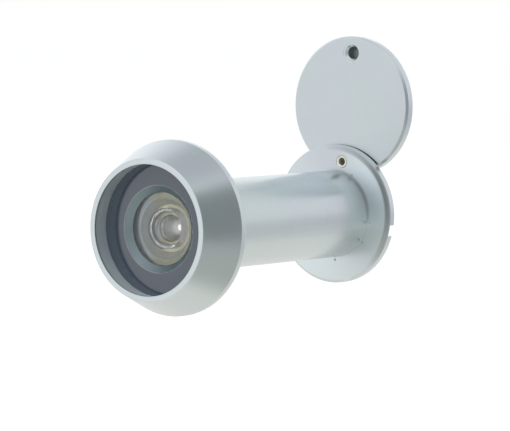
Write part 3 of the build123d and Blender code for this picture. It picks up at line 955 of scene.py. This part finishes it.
def make_cover():
    """The round cover, with a hole for the rivet and a countersunk one for the knob's shank."""
    corners = [
        (0, COVER_FRONT, 0),
        (COVER_RADIUS - COVER_BEVEL, COVER_FRONT, EDGE_ROUND),
        (COVER_RADIUS, COVER_FRONT + COVER_BEVEL, EDGE_ROUND),
        (COVER_RADIUS, COVER_REAR, COVER_ROUND),
        (0, COVER_REAR, 0),
    ]
    piece = turned("cover_plate", corners, (COVER.x, COVER.z), closed=False)
    pivot_hole = turned("cutter", [
        (0, COVER_FRONT - MM, 0),
        (RIVET_RADIUS + RUNNING_GAP, COVER_FRONT - MM, 0),
        (RIVET_RADIUS + RUNNING_GAP, COVER_REAR + MM, 0),
        (0, COVER_REAR + MM, 0),
    ], (PIVOT.x, PIVOT.z), closed=False, turns=SMALL_TURNS)
    shank = KNOB_SHANK_RADIUS + FIT_GAP
    knob_hole = turned("cutter", [
        (0, COVER_FRONT - MM, 0),
        (shank + KNOB_FLARE, COVER_FRONT - MM, 0),
        (shank + KNOB_FLARE, COVER_FRONT, 0),
        (shank, COVER_FRONT + KNOB_FLARE, 0),
        (shank, COVER_REAR + MM, 0),
        (0, COVER_REAR + MM, 0),
    ], (KNOB.x, KNOB.z), closed=False, turns=SMALL_TURNS)
    cut(piece, [pivot_hole, knob_hole])
    dress(piece, CHROME_COVER, "satin_chrome", "cover", "swing_cover")


def make_knob():
    """The finger knob, its hollow shank flared into the cover's countersink."""
    corners = [
        (0, COVER_REAR, 0),
        (KNOB_BORE_RADIUS, COVER_REAR, 0),
        (KNOB_BORE_RADIUS, COVER_FRONT + KNOB_FLARE, KNOB_BORE_ROUND),
        (KNOB_BORE_RADIUS + KNOB_FLARE, COVER_FRONT + KNOB_FLARE_SINK, KNOB_FLARE_ROUND),
        (KNOB_SHANK_RADIUS + KNOB_FLARE, COVER_FRONT + KNOB_FLARE_SINK, 0),
        (KNOB_SHANK_RADIUS, COVER_FRONT + KNOB_FLARE, 0),
        (KNOB_SHANK_RADIUS, COVER_REAR, 0),
        (KNOB_NECK_RADIUS, COVER_REAR, 0),
        (KNOB_NECK_RADIUS, COVER_REAR + KNOB_NECK_LENGTH, KNOB_NECK_ROUND),
        (KNOB_RADIUS, COVER_REAR + KNOB_NECK_LENGTH + KNOB_ROUND, KNOB_NECK_ROUND),
        (KNOB_RADIUS, COVER_REAR + KNOB_LENGTH, KNOB_ROUND),
        (0, COVER_REAR + KNOB_LENGTH, 0),
    ]
    piece = turned("finger_knob", corners, (KNOB.x, KNOB.z), closed=False, turns=96)
    dress(piece, CHROME_KNOB, "satin_chrome", "cover", "cover_knob")


make_housing()
make_retainer()
make_seat()
make_glasses()
make_sleeve()
make_flange()
make_rivet()
make_lock_ring("eyepiece_ring", "eyepiece_lock_ring", "sleeve")
make_lock_ring("objective_ring", "objective_lock_ring", "housing")
make_spacer("lens_ring", "lens_spacer", "housing", PALE_BRASS, "bare_brass")
make_spacer("stem_tube", "relay_tube", "housing", PALE_BRASS, "bare_brass")
make_spacer("eyepiece_tube", "eyepiece_spacer", "eyepiece", ANODISED, "black_metal")
make_washer()
make_cover()
make_knob()


# ---- studio ----

FLOOR_DROP = 45 * MM        # the floor lies this far under the bezel
FLOOR_LIGHT = 0.37          # what brings the floor to the camera's white
THROUGH_GLASS = 1.5         # how much brighter the room is to light that has passed a lens
LAMP_SIZE = 0.9
BARREL_MIDDLE = (0, 0.02, 0)

ROOM_WHITE = (0.985, 1.0, 1.02)
# where the room differs: the direction, the angles in degrees where it starts and is full, its colour
ROOM_PATCHES = (
    ((0, 0, -1), 95, 50, (0.99, 0.98, 0.92)),               # warm floor
    ((0.05, 0.3, 0.95), 40, 5, (0.62, 0.64, 0.67)),         # overhead
    ((0.58, 0.8, -0.2), 20, 5, (0.74, 0.75, 0.76)),         # behind, on the right
    ((0.95, -0.1, 0.16), 48, 20, (0.31, 0.33, 0.34)),       # right
    ((0.84, 0.15, 0.5), 26, 8, (0.3, 0.32, 0.33)),          # upper right
    ((0.75, 0.15, -0.63), 36, 8, (0.6, 0.61, 0.58)),        # lower right
    ((-0.4, -0.72, 0.56), 34, 10, (0.68, 0.7, 0.71)),       # in front, above on the left
)


def lobe(n, toward, direction, wide, narrow):
    """1 towards a direction and 0 away from it, from the angles where it starts and where it is full."""
    dot = n.add("VectorMath", {"operation": "DOT_PRODUCT"})
    n.put(dot.inputs[0], toward)
    dot.inputs[1].default_value = Vector(direction).normalized()
    soft = n.add("MapRange", {"interpolation_type": "SMOOTHSTEP"})
    n.put(soft.inputs["Value"], dot.outputs["Value"])
    soft.inputs["From Min"].default_value = math.cos(math.radians(wide))
    soft.inputs["From Max"].default_value = math.cos(math.radians(narrow))
    return soft.outputs["Result"]


def surroundings(n, toward):
    """What metal and glass reflect: a white room with a warm floor and some darker patches."""
    seen = ROOM_WHITE
    for direction, wide, narrow, colour in ROOM_PATCHES:
        seen = n.blend(lobe(n, toward, direction, wide, narrow), seen, colour)
    return seen


def by_metal_or_glass(n, path):
    """1 for what metal reflects or glass lets through."""
    return n.math("MAXIMUM", path.outputs["Is Glossy Ray"], path.outputs["Is Transmission Ray"])


def room_strength(n, path):
    """The room is brighter seen through glass, because light is lost at each lens."""
    return n.math("ADD", n.math("MULTIPLY", path.outputs["Is Transmission Ray"], THROUGH_GLASS - 1), 1.0)


def make_floor():
    """A white floor; metal and glass see the room's light in it."""
    bm = bmesh.new()
    bmesh.ops.create_grid(bm, x_segments=1, y_segments=1, size=3)
    floor = mesh_object("studio_floor", bm)
    drop = BEZEL_RADIUS + FLOOR_DROP
    floor.location = (0, 0, -drop)
    n = Nodes(bpy.data.materials.new("studio_floor"))
    n.shade(Base_Color=(0.86, 0.86, 0.85, 1), Roughness=0.9, Specular_IOR_Level=0.1)
    white = n.tree.nodes["Principled BSDF"]
    path = n.add("LightPath")
    lit = n.add("Emission", Color=(1, 1, 1, 1), Strength=FLOOR_LIGHT)
    seen_by_camera = n.add("MixShader")
    both = n.add("AddShader")
    n.put(both.inputs[0], white.outputs[0])
    n.put(both.inputs[1], lit.outputs[0])
    n.put(seen_by_camera.inputs[0], path.outputs["Is Camera Ray"])
    n.put(seen_by_camera.inputs[1], white.outputs[0])
    n.put(seen_by_camera.inputs[2], both.outputs[0])
    offset = n.add("VectorMath", {"operation": "ADD"})
    n.put(offset.inputs[0], n.own_place())
    offset.inputs[1].default_value = (0, 0, -drop)
    toward = n.add("VectorMath", {"operation": "NORMALIZE"})
    n.put(toward.inputs[0], offset.outputs[0])
    glow = n.add("Emission", Strength=room_strength(n, path))
    n.put(glow.inputs["Color"], surroundings(n, toward.outputs[0]))
    whole = n.add("MixShader")
    n.put(whole.inputs[0], by_metal_or_glass(n, path))
    n.put(whole.inputs[1], seen_by_camera.outputs[0])
    n.put(whole.inputs[2], glow.outputs[0])
    n.put(n.tree.nodes["Material Output"].inputs["Surface"], whole.outputs[0])
    floor.data.materials.append(n.owner)


def make_world():
    """White to the camera and a plain pale light on surfaces; metal and glass see the room."""
    world = bpy.data.worlds.new("studio")
    bpy.context.scene.world = world
    n = Nodes(world)
    path = n.add("LightPath")
    room = surroundings(n, n.add("TexCoord").outputs["Generated"])
    ambient = n.blend(by_metal_or_glass(n, path), (0.72, 0.73, 0.75), room)
    colour = n.blend(path.outputs["Is Camera Ray"], ambient, (1, 1, 1))
    n.put(n.tree.nodes["Background"].inputs["Color"], colour)
    n.put(n.tree.nodes["Background"].inputs["Strength"], room_strength(n, path))


def make_lamp(name, place, power):
    """A large square lamp that faces the barrel's middle."""
    data = bpy.data.lights.new(name, "AREA")
    data.shape = "SQUARE"
    data.size = LAMP_SIZE
    data.energy = power
    lamp = bpy.data.objects.new(name, data)
    lamp.location = place
    aim = Vector(place) - Vector(BARREL_MIDDLE)
    lamp.rotation_euler = aim.to_track_quat("Z", "Y").to_euler()
    bpy.context.scene.collection.objects.link(lamp)


def make_camera():
    """The photograph's view: turned to the right of the axis and slightly above it."""
    azimuth = math.radians(36.713)
    elevation = math.radians(4.04)
    roll = math.radians(0.383)
    distance = 518.917 * MM
    aim_right = 16.457 * MM
    aim_up = 2.251 * MM
    photo_width = 510
    focal_pixels = 3441.39

    back = Vector((
        math.sin(azimuth) * math.cos(elevation),
        -math.cos(azimuth) * math.cos(elevation),
        math.sin(elevation),
    ))
    right = Vector((math.cos(azimuth), math.sin(azimuth), 0))
    up = back.cross(right)
    rolled_right = right * math.cos(roll) + up * math.sin(roll)
    rolled_up = up * math.cos(roll) - right * math.sin(roll)
    rim_centre = Vector((0, RIM_FACE, 0))
    place = rim_centre + rolled_right * aim_right + rolled_up * aim_up + back * distance

    data = bpy.data.cameras.new("camera")
    data.sensor_fit = "HORIZONTAL"
    data.lens = focal_pixels / photo_width * data.sensor_width
    data.clip_start = 0.01
    camera = bpy.data.objects.new("camera", data)
    turn = Matrix((rolled_right, rolled_up, back)).transposed()
    camera.matrix_world = Matrix.Translation(place) @ turn.to_4x4()
    bpy.context.scene.collection.objects.link(camera)
    bpy.context.scene.camera = camera


make_floor()
make_world()
make_lamp("key", (-0.3, -0.85, 0.65), 1.5)
make_lamp("back", (-0.8, 0.75, 0.25), 0.5)
make_camera()
bpy.context.scene.view_settings.view_transform = "Standard"
